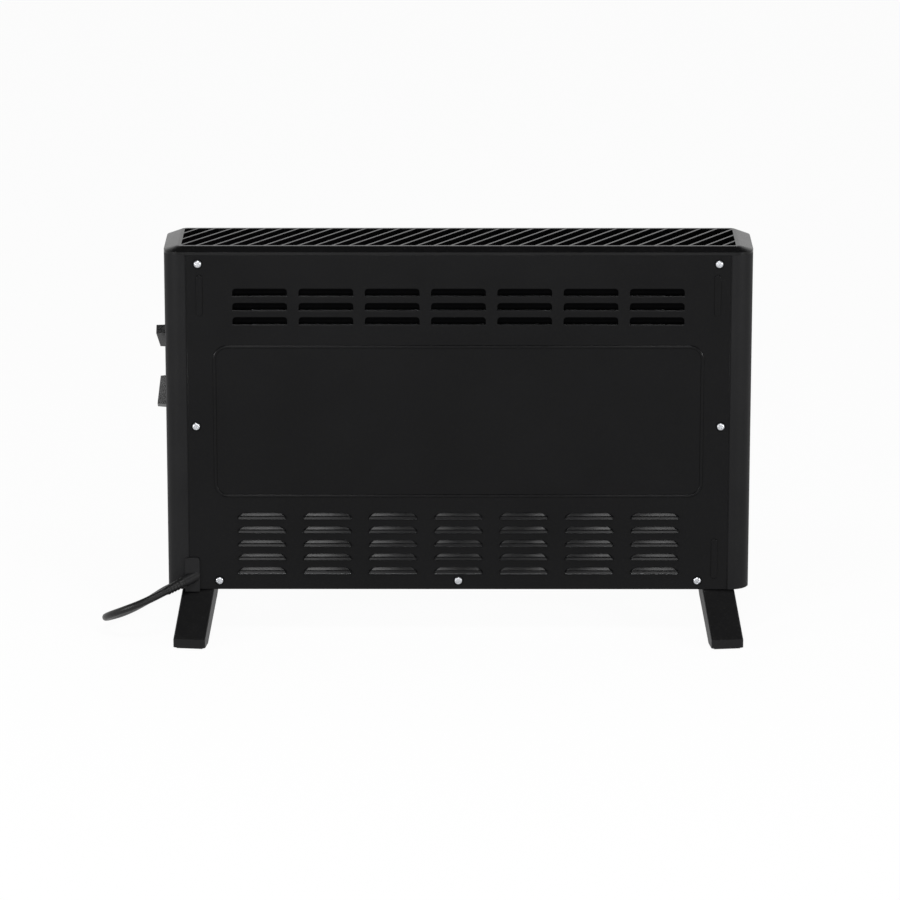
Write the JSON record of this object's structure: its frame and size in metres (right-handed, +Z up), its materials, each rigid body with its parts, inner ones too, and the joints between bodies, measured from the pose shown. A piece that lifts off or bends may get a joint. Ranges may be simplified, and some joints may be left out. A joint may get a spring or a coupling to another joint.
{
  "type": "convector heater",
  "caption": "Free-standing electric convector heater: flat case with louvred rear panel, slanted-slat top grille, turning knobs on one end cap, bridge feet and a coiled mains lead with plug.",
  "frame": {"origin": "on the floor under the middle of the heater's box, measured without the free lead, its coil and its plug", "axes": "+Z up; +X towards the end with the knobs and the lead; +Y towards the louvred rear panel, so the front faces -Y"},
  "size_m": [0.6249, 0.3352, 0.3822],
  "materials": {
    "panel_paint": "semi-gloss black powder coat",
    "case_plastic": "satin moulded",
    "grille_plastic": "satin moulded",
    "foot_plastic": "satin moulded",
    "knob_plastic": "satin moulded",
    "gland_plastic": "matt moulded",
    "cord_pvc": "matt extruded",
    "plug_pvc": "matt moulded",
    "tie_plastic": "matt",
    "wire_sleeve": "braided sleeve",
    "bright_zinc": "zinc plated",
    "galvanised_steel": "galvanised",
    "fin_aluminium": "extruded",
    "white_ceramic": "unglazed",
    "terminal_brass": "plated",
    "switch_plastic": "moulded",
    "pad_rubber": "matt"
  },
  "bodies": {
    "heater": {"rear_panel": "panel_paint", "front_panel": "panel_paint", "end_cap_right": "case_plastic", "end_cap_left": "case_plastic", "top_grille": "grille_plastic", "base_tray": "galvanised_steel", "rear_panel_screws": "bright_zinc", "foot_right": "foot_plastic", "foot_left": "foot_plastic", "foot_pads": "pad_rubber", "foot_screws": "bright_zinc", "control_plate": "galvanised_steel", "control_plate_screws": "bright_zinc", "thermostat_body": "switch_plastic", "thermostat_nut": "bright_zinc", "selector_body": "switch_plastic", "selector_nut": "bright_zinc", "element_lower": "fin_aluminium", "element_upper": "fin_aluminium", "element_insulators": "white_ceramic", "element_terminals": "terminal_brass", "element_bracket_right": "galvanised_steel", "element_bracket_left": "galvanised_steel", "bracket_screws": "bright_zinc", "heat_shield": "galvanised_steel", "thermal_cutout": "switch_plastic", "cutout_rivets": "bright_zinc", "inner_cord": "cord_pvc", "cord_clamp": "gland_plastic", "clamp_screws": "bright_zinc", "terminal_block": "switch_plastic", "wiring_loom": "wire_sleeve", "cord_gland": "gland_plastic", "strain_relief": "cord_pvc", "power_cord": "cord_pvc", "cord_coil": "cord_pvc", "cord_tie": "tie_plastic", "cord_tail": "cord_pvc", "plug_body": "plug_pvc", "plug_pins": "terminal_brass", "plug_earth_clips": "terminal_brass"},
    "thermostat": {"thermostat_knob": "knob_plastic", "thermostat_shaft": "bright_zinc"},
    "selector": {"selector_knob": "knob_plastic", "selector_shaft": "bright_zinc"}
  },
  "joints": [
    {"name": "thermostat_turn", "type": "hinge", "parent": "heater", "child": "thermostat", "pos_m": [0.2725, 0, 0.285], "axis": [1, 0, 0], "range_deg": [-150, 150]},
    {"name": "selector_turn", "type": "hinge", "parent": "heater", "child": "selector", "pos_m": [0.2725, 0, 0.23], "axis": [1, 0, 0], "range_deg": [0, 135]}
  ]
}
